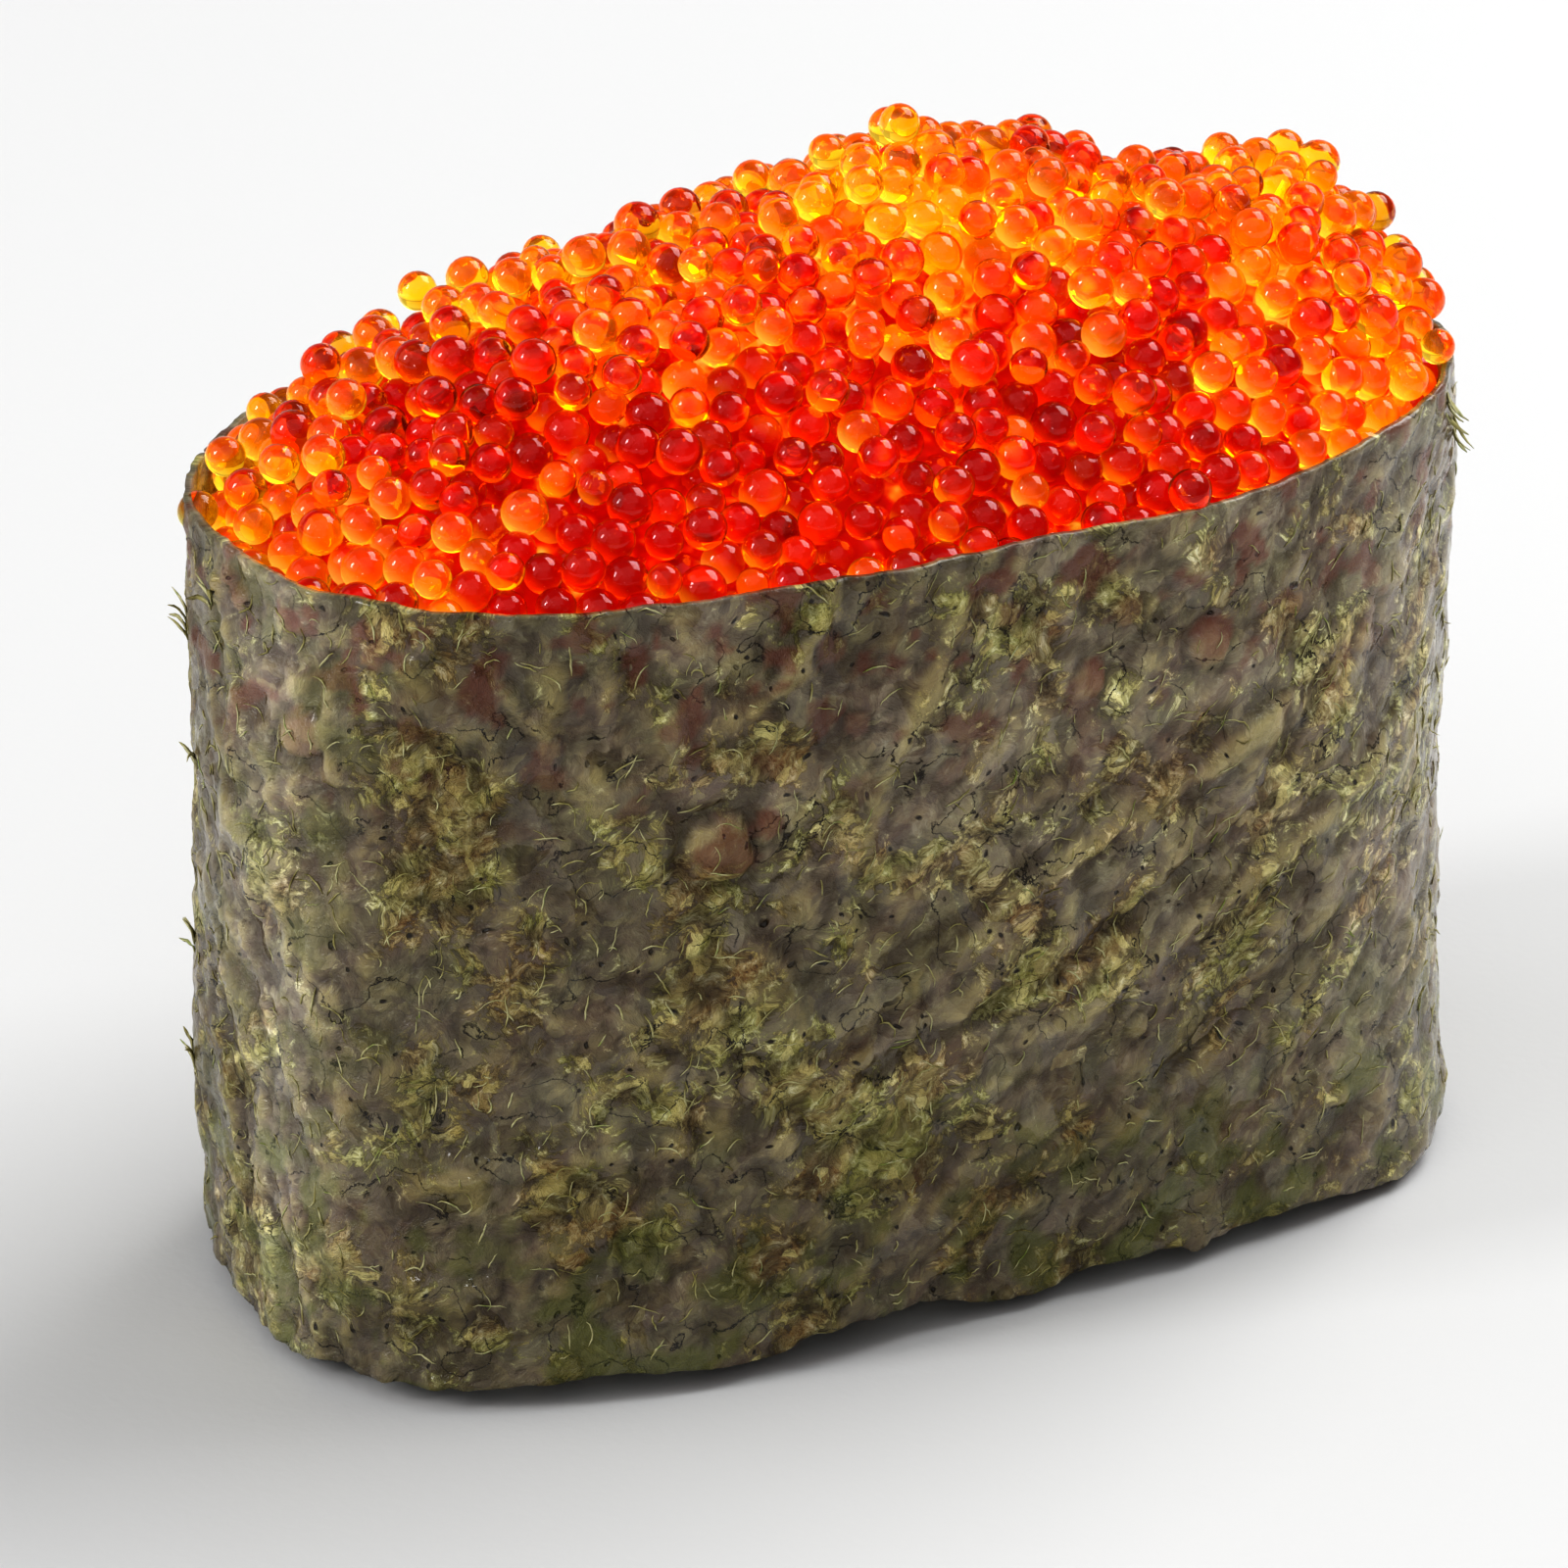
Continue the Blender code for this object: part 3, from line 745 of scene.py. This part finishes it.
# Torn tips that stand off the ends: place along the strip, height, and how far they stand off
for place, height, lift in (
    (37.2, 14.1, 0.7),
    (38.4, 27.9, 0.8),
    (39.0, 22.5, 0.5),
    (38.0, 9.5, 0.5),
    (41.5, 30.5, 0.5),
    (99.5, 31.0, 1.0),
    (98.5, 32.2, 0.8),
):
    for _ in range(4):
        lay(
            shred(
                (place + chance.uniform(-0.4, 0.4)) * MM,
                (height + chance.uniform(-0.5, 0.5)) * MM,
                math.radians(chance.uniform(60, 120)) * (1 if place < 60 else -1),
                chance.uniform(0.9, 1.7) * MM,
                chance.uniform(0.05, 0.10) * MM,
                lift * MM * chance.uniform(0.6, 1.0),
            )
        )
shred_mesh = mesh_of("nori_shreds", shred_points, shred_faces)
add_piece("nori_shreds", shred_mesh, bleached_shred(), "nori")


# ---------------------------------------------------------------- roe
# Salted eggs of flying fish, about 1.6 mm across, spooned onto the rice. Each is a clear orange
# ball in a thin skin. A red syrup fills the gaps deeper in, so the heap darkens to red. The eggs
# are painted lighter up the ridge and at the ends, and eggs and syrup carry a painted glow.

EGG_RADIUS = 0.8 * MM
EGG_SPREAD = 0.07  # sizes differ by this share
EGG_LAYERS = (0, 1.25 * MM)  # how much deeper each layer lies than the first
DART_SPACING = 1.52  # in egg radii: as near as two eggs may start, before they settle
DARTS = 16000  # tries for each layer
RIM_DEPTH = 2.4 * MM  # no egg is seen lower than this under the band's edge
NEAR_EGG = 2.2 * EGG_RADIUS  # middles nearer than this may touch
SETTLE_ROUNDS = 50
EGG_PRESS = 0.955  # eggs flatten against each other a little
EGG_STAND = (0.24 * MM, 0.34 * MM)  # how far eggs stand out of the heap: middle and spread
BACK_STAND = 0.7 * MM  # how much more they pile up behind, on the left
WALL_STAND = 0.65 * MM  # and how far towards the band, where the heap's solid keeps clear of it
FIELD_CELL = 0.6 * MM

heap_tree = solid_tree("roe")
heap_low, heap_high = [np.array(corner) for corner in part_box("roe")]
rim = band_high.z
chance = random.Random(3)


def depth_field(tree, low, counts, cell):
    """Depths inside a closed solid at the points of a grid, negative outside it."""
    depths = np.zeros(counts)
    for i in range(counts[0]):
        for j in range(counts[1]):
            start = Vector((low[0] + i * cell, low[1] + j * cell, low[2] - cell))
            column = Vector(start)
            crossings = []
            hit = tree.ray_cast(start, UP)[0]
            while hit is not None:
                crossings.append(hit.z)
                start = hit + UP * 0.001 * MM
                hit = tree.ray_cast(start, UP)[0]
            for k in range(counts[2]):
                column.z = low[2] + k * cell
                inside = sum(height < column.z for height in crossings) % 2
                depths[i, j, k] = tree.find_nearest(column)[3] * (1 if inside else -1)
    return depths


def sampled(field, low, cell, points):
    """The field's values between its grid points."""
    place = (points - low) / cell
    base = np.clip(np.floor(place).astype(int), 0, np.array(field.shape[:3]) - 2)
    part = np.clip(place - base, 0, 1)
    total = 0
    for corner in np.ndindex(2, 2, 2):
        share = np.prod(np.where(corner, part, 1 - part), axis=1)
        at = base + corner
        value = field[at[:, 0], at[:, 1], at[:, 2]]
        total = total + value * (share if value.ndim == 1 else share[:, None])
    return total


field_low = heap_low - 3 * FIELD_CELL
field_counts = ((heap_high - heap_low) / FIELD_CELL).astype(int) + 8
depths = depth_field(heap_tree, field_low, field_counts, FIELD_CELL)
ways_in = np.stack(np.gradient(depths, FIELD_CELL), axis=3)

# Points spread evenly over the heap's faces
heap_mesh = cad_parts["roe"].data
heap_mesh.calc_loop_triangles()
corners = np.array([[heap_mesh.vertices[k].co[:] for k in tri.vertices] for tri in heap_mesh.loop_triangles])
area = np.linalg.norm(np.cross(corners[:, 1] - corners[:, 0], corners[:, 2] - corners[:, 0]), axis=1)
dice = np.random.default_rng(3)
centres = np.zeros((0, 3))
targets = np.zeros(0)
for layer in EGG_LAYERS:
    picked = corners[dice.choice(len(area), DARTS, p=area / area.sum())]
    mix = dice.dirichlet((1, 1, 1), DARTS)
    darts = (picked * mix[:, :, None]).sum(axis=1)
    facing = np.cross(picked[:, 1] - picked[:, 0], picked[:, 2] - picked[:, 0])
    facing /= np.linalg.norm(facing, axis=1)[:, None]
    stand = dice.normal(*EGG_STAND, DARTS)
    behind = (darts[:, 1] > 2 * MM) & (darts[:, 0] < -6 * MM) & (darts[:, 2] < rim + 2.5 * MM)
    stand += np.where(behind, BACK_STAND, 0)
    wall = (np.abs(facing[:, 2]) < 0.3) & (darts[:, 2] < rim)
    depth = EGG_RADIUS - np.where(wall, WALL_STAND, stand) + layer
    seen = (darts[:, 2] > rim - RIM_DEPTH) & ((facing[:, 2] > -0.3) | (darts[:, 2] > rim))
    darts = darts - facing * depth[:, None]
    real = sampled(depths, field_low, FIELD_CELL, darts)
    seen &= (real > depth - 0.5 * MM) & (darts[:, 2] > rim - RIM_DEPTH)
    for dart, target in zip(darts[seen], depth[seen]):
        if len(centres) and np.min(((centres - dart) ** 2).sum(axis=1)) < (DART_SPACING * EGG_RADIUS) ** 2:
            continue
        centres = np.vstack([centres, dart])
        targets = np.append(targets, target)
radii = EGG_RADIUS * (1 + dice.normal(0, EGG_SPREAD, len(centres)))
outermost = targets < EGG_RADIUS + EGG_LAYERS[1] / 2

for _ in range(SETTLE_ROUNDS):
    places = KDTree(len(centres))
    for i, centre in enumerate(centres):
        places.insert(centre, i)
    places.balance()
    near = [(i, j) for i, c in enumerate(centres) for _, j, _ in places.find_range(c, NEAR_EGG)]
    first, second = np.array([pair for pair in near if pair[1] > pair[0]]).T
    gap = centres[first] - centres[second]
    apart = np.linalg.norm(gap, axis=1)
    shove = np.clip((radii[first] + radii[second]) * EGG_PRESS - apart, 0, None) / apart * 0.35
    np.add.at(centres, first, gap * shove[:, None])
    np.add.at(centres, second, -gap * shove[:, None])
    depth = sampled(depths, field_low, FIELD_CELL, centres)
    way_in = sampled(ways_in, field_low, FIELD_CELL, centres)
    way_in /= np.linalg.norm(way_in, axis=1)[:, None] + 1e-9
    lack = targets - depth
    lack = np.where(outermost, lack * 0.6, np.clip(lack, 0, None))
    centres += way_in * lack[:, None]


# Each egg carries a painted glow on one side, for the daylight that gathers there behind its skin: which
# side, and how bright
PAINTED_GLOW_SIDE = (-0.75, -0.05, -0.66)  # the side of an egg where daylight gathers behind its skin
PAINTED_EGG_GLOW = 0.30  # how brightly that side glows


def roe_egg(name, tint, density, glow):
    """A salted egg: clear orange, oily and watery, in a thin wet skin. It bends light like glass, and
    a painted glow on the side away from the window stands for light gathered there."""
    material, tree = bare_material(name)
    skin = add_node(tree, "TexCoord").outputs["Normal"]
    facing = add_node(tree, "VectorMath", {0: skin, 1: PAINTED_GLOW_SIDE}, operation="DOT_PRODUCT")
    lit_side = add_node(
        tree, "MapRange", {"Value": facing.outputs["Value"], "From Min": -0.2, "From Max": 0.97}
    )
    painted_glow_colour = add_node(tree, "ValToRGB", {"Fac": lit_side}, stops=tuple(zip((0.0, 0.5, 1.0), glow)))
    shader = add_node(
        tree, "BsdfPrincipled",
        {
            "Base Color": (1.0, 1.0, 1.0, 1.0),
            "Roughness": 0.0,
            "IOR": 1.47,
            "Specular IOR Level": 1.0,
            "Transmission Weight": 1.0,
            "Emission Color": painted_glow_colour,
            "Emission Strength": PAINTED_EGG_GLOW,
        },
    )
    material.cycles.emission_sampling = "NONE"
    inside = add_node(tree, "VolumeAbsorption", {"Color": linear(tint), "Density": density})
    add_node(tree, "OutputMaterial", {"Surface": shader, "Volume": inside})
    return material


# Name, colour left by a long way through the egg, strength, painted glow from the far side to
# the lit one, and share in the middle of the front and along the ridge and the ends. The kinds
# are painted light: the lighter ones go where light comes through the heap, the red one where it is deep.
EGG_KINDS = (
    ("roe_red", "#fedc00", 2800.0, ("#000000", "#300200", "#ff4406"), 0.66, 0.02),
    ("roe_orange", "#feeb00", 2800.0, ("#1c0000", "#9a3000", "#ffb82c"), 0.30, 0.26),
    ("roe_amber", "#fff345", 2800.0, ("#5a2600", "#de8c18", "#fff670"), 0.04, 0.72),
)
ridge_height = heap_high[2] - rim
sorted_eggs = {kind[0]: [] for kind in EGG_KINDS}
# Each egg's kind is drawn by its place: painted light, more of the lighter kinds up the ridge, at both ends
# and behind, more red ones low in the middle of the front
for centre, radius, target in zip(centres, radii, targets):
    shares = (
        ((centre[2] - rim) / ridge_height - 0.35) / 0.5,
        (centre[0] - 10 * MM) / (10 * MM),
        (-15 * MM - centre[0]) / (7 * MM),
        (centre[1] - 2 * MM) / (6 * MM),
    )
    share = min(max(shares), 1) if max(shares) > 0 else 0
    draw = chance.random()
    for name, _, _, _, shaded_front_share, lit_ridge_share in EGG_KINDS:
        draw -= shaded_front_share + (lit_ridge_share - shaded_front_share) * share
        if draw <= 0:
            break
    stretch = np.array([1 + chance.gauss(0, 0.02) for _ in range(3)])
    tilt = Matrix.Rotation(chance.uniform(0, math.tau), 3, Vector((1, chance.random(), 1)).normalized())
    sorted_eggs[name].append((ball_points * stretch * radius) @ np.array(tilt) + centre)
for name, tint, density, glow, _, _ in EGG_KINDS:
    mesh = joined(name, sorted_eggs[name], ball_faces)
    add_piece(name, mesh, roe_egg(name, tint, density, glow), "roe")


# ---------------------------------------------------------------- roe syrup
# Juice and crushed eggs fill the gaps between the eggs as a wet red jelly. It comes up between
# them low down on the slope, and lies deeper along the ridge.

SYRUP_SHALLOW = 1.5 * MM
SYRUP_DEEP = 1.9 * MM
SYRUP_TURNS = 240
SYRUP_RINGS = 60
SYRUP_FOOT = rim - 5 * MM


def red_syrup():
    """Roe juice and crushed eggs: a red jelly with a painted glow, deep red low down and orange to yellow up
    the ridge and towards the right end, for light that comes through the eggs.
    """
    material, tree = bare_material("red_syrup")
    place = add_node(tree, "TexCoord").outputs["Object"]
    spot = add_node(tree, "SeparateXYZ", {"Vector": place}).outputs
    up_share = add_node(
        tree, "MapRange",
        {"Value": spot["Z"], "From Min": rim + 2 * MM, "From Max": heap_high[2] - MM, "To Min": 0.08},
    )
    end_share = add_node(
        tree, "MapRange", {"Value": spot["X"], "From Min": 9 * MM, "From Max": 20 * MM, "To Max": 0.36}
    )
    patches = add_node(
        tree, "TexNoise", {"Vector": place, "Scale": 1 / (1.4 * MM), "Detail": 2.0, "Roughness": 0.6}
    )
    warm = add_node(tree, "Math", {0: patches, 1: 2.8, 2: -1.4}, operation="MULTIPLY_ADD")
    warm = add_node(tree, "Math", {0: warm, 1: up_share}, operation="ADD")
    warm = add_node(tree, "Math", {0: warm, 1: end_share}, operation="ADD")
    colour = add_node(
        tree, "ValToRGB", {"Fac": warm},
        stops=((0.0, "#880300"), (0.22, "#c00a04"), (0.42, "#ee5010"), (0.62, "#ffb030"), (0.85, "#fff070")),
    )
    # The emission is a painted glow for light passed through the eggs, brighter up the ridge and towards the
    # right end
    shader = add_node(
        tree, "BsdfPrincipled",
        {
            "Base Color": linear("#d02000"),
            "Roughness": 0.4,
            "IOR": 1.2,
            "Emission Color": colour,
            "Emission Strength": 0.42,
        },
    )
    add_node(tree, "OutputMaterial", {"Surface": shader})
    material.cycles.emission_sampling = "NONE"
    return material


def heap_top(x, y):
    """Height of the heap over a place, and how steep it is there, or nothing beside the heap."""
    hit, normal, _, _ = heap_tree.ray_cast(Vector((x, y, heap_high[2] + MM)), -UP)
    return (hit.z, max(normal.z, 0.4)) if hit and hit.z > rim - RIM_DEPTH else None


syrup_points = []
for k in range(SYRUP_TURNS):
    turn = math.tau * k / SYRUP_TURNS
    wall = band_hit(band_tree, turn, rim - MM, False)
    reach = math.hypot(wall.x, wall.y) - 0.1 * MM
    last, level = rim, 1
    for j in range(SYRUP_RINGS + 1):
        out = reach * math.sin(math.pi / 2 * j / SYRUP_RINGS)
        x, y = out * math.cos(turn), out * math.sin(turn)
        top = heap_top(x, y)
        if top:
            last, level = top
        share = min(max((last - rim) / (0.7 * ridge_height), 0), 1)
        share = max(share, min(max((x - 12 * MM) / (8 * MM), 0), 0.8))
        drop = SYRUP_SHALLOW + (SYRUP_DEEP - SYRUP_SHALLOW) * share
        lump = 0.25 * MM * noise.noise(Vector((x, y, 0)) / (1.3 * MM))
        syrup_points.append((x, y, last - drop / level + lump))
    syrup_points.append((x, y, SYRUP_FOOT))
per_turn = SYRUP_RINGS + 2
grid = np.arange(SYRUP_TURNS * per_turn).reshape(SYRUP_TURNS, per_turn)
grid = np.vstack([grid, grid[:1]])
syrup_faces = [tuple(face) for face in quads(grid)[:, ::-1]]
syrup_faces.append(tuple(grid[:-1, -1][::-1]))
syrup = bmesh.new()
syrup_mesh = mesh_of("roe_syrup", syrup_points, syrup_faces)
syrup.from_mesh(syrup_mesh)
bmesh.ops.remove_doubles(syrup, verts=syrup.verts, dist=0.0005 * MM)
bmesh.ops.recalc_face_normals(syrup, faces=syrup.faces)
syrup.to_mesh(syrup_mesh)
syrup.free()
add_piece("roe_syrup", syrup_mesh, red_syrup(), "roe")


# ---------------------------------------------------------------- table
# A sheet of satin acrylic, off-white, so that it mirrors the lamps as a soft haze.

TABLE_SIZE = 2.0
TABLE_WHITE = "#e6e6e6"


def satin_acrylic():
    """Cast acrylic with a satin face: a fine even tooth that blurs what it mirrors."""
    material, tree = bare_material("satin_acrylic")
    place = add_node(tree, "TexCoord").outputs["Object"]
    tooth = add_node(tree, "TexNoise", {"Vector": place, "Scale": 1 / (0.5 * MM), "Detail": 2.0})
    bump = add_node(tree, "Bump", {"Height": tooth, "Strength": 0.25, "Distance": 0.05 * MM})
    shader = add_node(
        tree, "BsdfPrincipled",
        {
            "Base Color": linear(TABLE_WHITE),
            "Roughness": 0.45,
            "IOR": 1.49,
            "Specular IOR Level": 0.3,
            "Normal": bump,
        },
    )
    add_node(tree, "OutputMaterial", {"Surface": shader})
    return material


table_mesh = mesh_of(
    "table",
    [(x * TABLE_SIZE, y * TABLE_SIZE, 0) for x, y in ((-1, -1), (1, -1), (1, 1), (-1, 1))],
    [(0, 1, 2, 3)],
)
table_mesh.materials.append(satin_acrylic())
table = bpy.data.objects.new("table", table_mesh)
bpy.context.scene.collection.objects.link(table)


# ---------------------------------------------------------------- lights
# A white room, a wide lamp behind the piece that shines through the roe, and a softbox high on
# the right, which every egg mirrors as a small white window.

LAMPS = (
    # name, turn from the front, height, distance, width, height across, brightness
    ("right_softbox", 98, 50, 0.60, 0.50, 0.36, 4.15),
    ("rear_wall", 172, 14, 0.80, 1.40, 0.40, 0.25),
    ("left_window", -96, 30, 0.70, 0.12, 0.24, 12.0),
    ("left_wall", -100, 34, 0.80, 1.00, 0.80, 0.62),
    ("front_wall", -27, 20, 0.80, 0.90, 0.50, 0.25),
    ("front_window", -34, 4, 0.90, 0.06, 0.06, 16.0),
    ("ceiling", -10, 62, 0.80, 1.00, 0.80, 0.42),
)
for name, turn, lift, distance, width, height, brightness in LAMPS:
    turn, lift = math.radians(turn), math.radians(lift)
    way = Vector((math.sin(turn) * math.cos(lift), -math.cos(turn) * math.cos(lift), math.sin(lift)))
    lamp_data = bpy.data.lights.new(name, "AREA")
    lamp_data.shape = "RECTANGLE"
    lamp_data.size = width
    lamp_data.size_y = height
    lamp_data.energy = brightness * math.pi * width * height
    lamp = bpy.data.objects.new(name, lamp_data)
    lamp.location = way * distance + UP * 20 * MM
    lamp.rotation_mode = "QUATERNION"
    lamp.rotation_quaternion = way.to_track_quat("Z", "Y")
    bpy.context.scene.collection.objects.link(lamp)

room = bpy.data.worlds.new("white_room")
room.use_nodes = True
room.node_tree.nodes["Background"].inputs["Color"].default_value = linear("#ffffff")
room.node_tree.nodes["Background"].inputs["Strength"].default_value = 0.12
bpy.context.scene.world = room


# ---------------------------------------------------------------- camera
# A long lens from the front left, looking down a little over a quarter of a right angle.

VIEW_AZIMUTH = math.radians(-26.8)
VIEW_HEIGHT = math.radians(26.3)
VIEW_DISTANCE = 305.9 * MM
LENS = 180.0
AIM_LEFT = 1.8 * MM  # the piece stands a little right of the view's middle
AIM_HEIGHT = 17.2 * MM

back = Vector(
    (
        math.sin(VIEW_AZIMUTH) * math.cos(VIEW_HEIGHT),
        -math.cos(VIEW_AZIMUTH) * math.cos(VIEW_HEIGHT),
        math.sin(VIEW_HEIGHT),
    )
)
side = Vector((math.cos(VIEW_AZIMUTH), math.sin(VIEW_AZIMUTH), 0))
aim = Vector((0.1 * MM, -0.5 * MM, AIM_HEIGHT)) - side * AIM_LEFT
camera_data = bpy.data.cameras.new("camera")
camera_data.lens = LENS
camera_data.sensor_width = 36.0
camera_data.clip_start = 0.01
camera = bpy.data.objects.new("camera", camera_data)
camera.location = aim + back * VIEW_DISTANCE
camera.rotation_mode = "QUATERNION"
camera.rotation_quaternion = back.to_track_quat("Z", "Y")
bpy.context.scene.collection.objects.link(camera)
bpy.context.scene.camera = camera
bpy.context.scene.view_settings.view_transform = "Standard"
bpy.context.scene.view_settings.look = "High Contrast"
bpy.context.scene.cycles.max_bounces = 6  # light goes in and out of three eggs
bpy.context.scene.cycles.transmission_bounces = 6
bpy.context.scene.cycles.diffuse_bounces = 1
bpy.context.scene.cycles.glossy_bounces = 1
